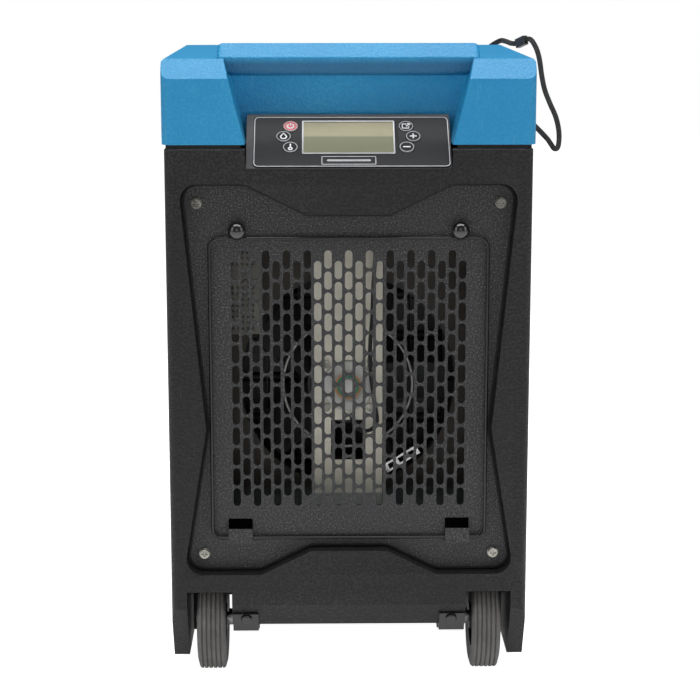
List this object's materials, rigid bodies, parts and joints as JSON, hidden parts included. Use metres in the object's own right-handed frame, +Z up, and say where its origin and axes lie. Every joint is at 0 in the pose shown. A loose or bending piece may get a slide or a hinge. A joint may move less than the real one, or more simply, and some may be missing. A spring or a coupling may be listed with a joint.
{
  "type": "portable commercial dehumidifier",
  "caption": "Wheeled box dehumidifier with a blue top, front carry handle, tilted keypad and a slotted intake panel under a hinged wire filter clamp.",
  "frame": {"origin": "centre of the machine's footprint box, on the floor", "axes": "+Z up, -Y out of the intake face, +X to the viewer's right when facing the intake"},
  "size_m": [0.405, 0.38, 0.609],
  "materials": {
    "black_shell": "fine leather-grain moulded polyethylene",
    "blue_cover": "satin moulded polyethylene with a fine grain",
    "seal_rubber": "soft black rubber",
    "black_trim": "smooth black moulding",
    "keypad_foil": "glossy printed keypad foil",
    "display_glass": "clear window over a grey-green display",
    "display_module": "display with its frame",
    "circuit_board": "green solder mask",
    "button_red": "red printed key",
    "button_dark": "dark printed key with a grey ring",
    "powder_coat": "charcoal speckled powder coat on steel",
    "screw_steel": "zinc-plated steel",
    "black_wire": "semi-gloss black coated wire",
    "knob_plastic": "polished black plastic dome",
    "galvanised": "galvanised sheet steel",
    "motor_metal": "die-cast motor housing with a printed disc",
    "fan_plastic": "glass-filled black plastic",
    "shroud_steel": "dark primed sheet steel",
    "shelf_steel": "bright galvanised sheet",
    "fin_aluminium": "thin aluminium fins",
    "copper": "refrigeration copper tube",
    "compressor_black": "gloss black enamel on steel",
    "pan_plastic": "white moulded tray",
    "pump_plastic": "black pump housing",
    "clear_hose": "clear vinyl hose",
    "port_plastic": "light grey barbed fitting",
    "relay_box": "pale louvred sheet steel",
    "cable_black": "black jacketed lead",
    "bright_strip": "bright punched aluminium",
    "base_steel": "galvanised steel floor",
    "axle_steel": "plain steel bar",
    "bracket_black": "black coated pressed steel",
    "bolt_black": "black oxide bolt",
    "hub_plastic": "black nylon wheel centre",
    "tyre_rubber": "grey-black ribbed rubber tread",
    "foot_rubber": "black rubber foot",
    "strap_web": "woven nylon webbing",
    "anchor_black": "black fixing",
    "slider_grey": "dark grey moulded slider"
  },
  "bodies": {
    "housing": {"base_tray": "black_shell", "body_shell": "black_shell", "top_cover": "blue_cover", "carry_handle": "blue_cover", "cover_gasket": "seal_rubber", "control_bezel": "black_trim", "keypad_overlay": "keypad_foil", "lcd_window": "display_glass", "lcd_module": "display_module", "control_pcb": "circuit_board", "front_panel": "powder_coat", "panel_screws": "screw_steel", "knob_nuts": "screw_steel", "motor_bracket": "galvanised", "fan_motor": "motor_metal", "motor_screws": "screw_steel", "fan_guard_ring": "screw_steel", "fan_shroud": "shroud_steel", "drip_shelf": "shelf_steel", "condenser_fins": "fin_aluminium", "condenser_tubes": "copper", "evaporator_fins": "fin_aluminium", "evaporator_tubes": "copper", "compressor": "compressor_black", "accumulator": "compressor_black", "filter_drier": "copper", "refrigerant_pipes": "copper", "drain_pan": "pan_plastic", "condensate_pump": "pump_plastic", "drain_tube": "clear_hose", "drain_port": "port_plastic", "control_box": "relay_box", "motor_cable": "cable_black", "cable_tag": "bright_strip", "base_plate": "base_steel", "rear_panel": "powder_coat", "rear_screws": "screw_steel", "power_inlet": "black_trim", "axle": "axle_steel", "axle_clips": "screw_steel", "axle_brackets": "bracket_black", "bracket_bolts": "bolt_black", "rear_feet": "foot_rubber", "strap": "strap_web", "strap_anchor": "anchor_black", "strap_slider": "slider_grey"},
    "wheel_left": {"wheel_hub_left": "hub_plastic", "tyre_left": "tyre_rubber"},
    "wheel_right": {"wheel_hub_right": "hub_plastic", "tyre_right": "tyre_rubber"},
    "fan_rotor": {"fan_impeller": "fan_plastic"},
    "filter_clamp": {"filter_frame": "black_wire"},
    "knob_left": {"thumb_knob_left": "knob_plastic"},
    "knob_right": {"thumb_knob_right": "knob_plastic"},
    "power_key": {"power_button": "button_red"},
    "mode_key": {"mode_button": "button_dark"},
    "unit_key": {"unit_button": "button_dark"},
    "timer_key": {"timer_button": "button_dark"},
    "plus_key": {"plus_button": "button_dark"},
    "minus_key": {"minus_button": "button_dark"}
  },
  "joints": [
    {"name": "wheel_left_spin", "type": "hinge", "parent": "housing", "child": "wheel_left", "pos_m": [-0.1325, -0.14, 0.05], "axis": [1, 0, 0], "continuous": true},
    {"name": "wheel_right_spin", "type": "hinge", "parent": "housing", "child": "wheel_right", "pos_m": [0.1325, -0.14, 0.05], "axis": [1, 0, 0], "continuous": true},
    {"name": "fan_spin", "type": "hinge", "parent": "housing", "child": "fan_rotor", "pos_m": [0, -0.099, 0.279], "axis": [0, 1, 0], "continuous": true},
    {"name": "filter_clamp_swing", "type": "hinge", "parent": "housing", "child": "filter_clamp", "pos_m": [0, -0.1785, 0.1415], "axis": [1, 0, 0], "range_deg": [0, 90]},
    {"name": "knob_left_turn", "type": "hinge", "parent": "filter_clamp", "child": "knob_left", "pos_m": [-0.104, -0.1785, 0.4375], "axis": [0, 1, 0], "continuous": true},
    {"name": "knob_right_turn", "type": "hinge", "parent": "filter_clamp", "child": "knob_right", "pos_m": [0.104, -0.1785, 0.4375], "axis": [0, 1, 0], "continuous": true},
    {"name": "power_press", "type": "slide", "parent": "housing", "child": "power_key", "axis": [0, 0.6172, -0.7868], "range_m": [0, 0.0005], "stiffness_N_per_m": 600, "springref_m": -0.0004},
    {"name": "mode_press", "type": "slide", "parent": "housing", "child": "mode_key", "axis": [0, 0.6172, -0.7868], "range_m": [0, 0.0005], "stiffness_N_per_m": 600, "springref_m": -0.0004},
    {"name": "unit_press", "type": "slide", "parent": "housing", "child": "unit_key", "axis": [0, 0.6172, -0.7868], "range_m": [0, 0.0005], "stiffness_N_per_m": 600, "springref_m": -0.0004},
    {"name": "timer_press", "type": "slide", "parent": "housing", "child": "timer_key", "axis": [0, 0.6172, -0.7868], "range_m": [0, 0.0005], "stiffness_N_per_m": 600, "springref_m": -0.0004},
    {"name": "plus_press", "type": "slide", "parent": "housing", "child": "plus_key", "axis": [0, 0.6172, -0.7868], "range_m": [0, 0.0005], "stiffness_N_per_m": 600, "springref_m": -0.0004},
    {"name": "minus_press", "type": "slide", "parent": "housing", "child": "minus_key", "axis": [0, 0.6172, -0.7868], "range_m": [0, 0.0005], "stiffness_N_per_m": 600, "springref_m": -0.0004}
  ]
}
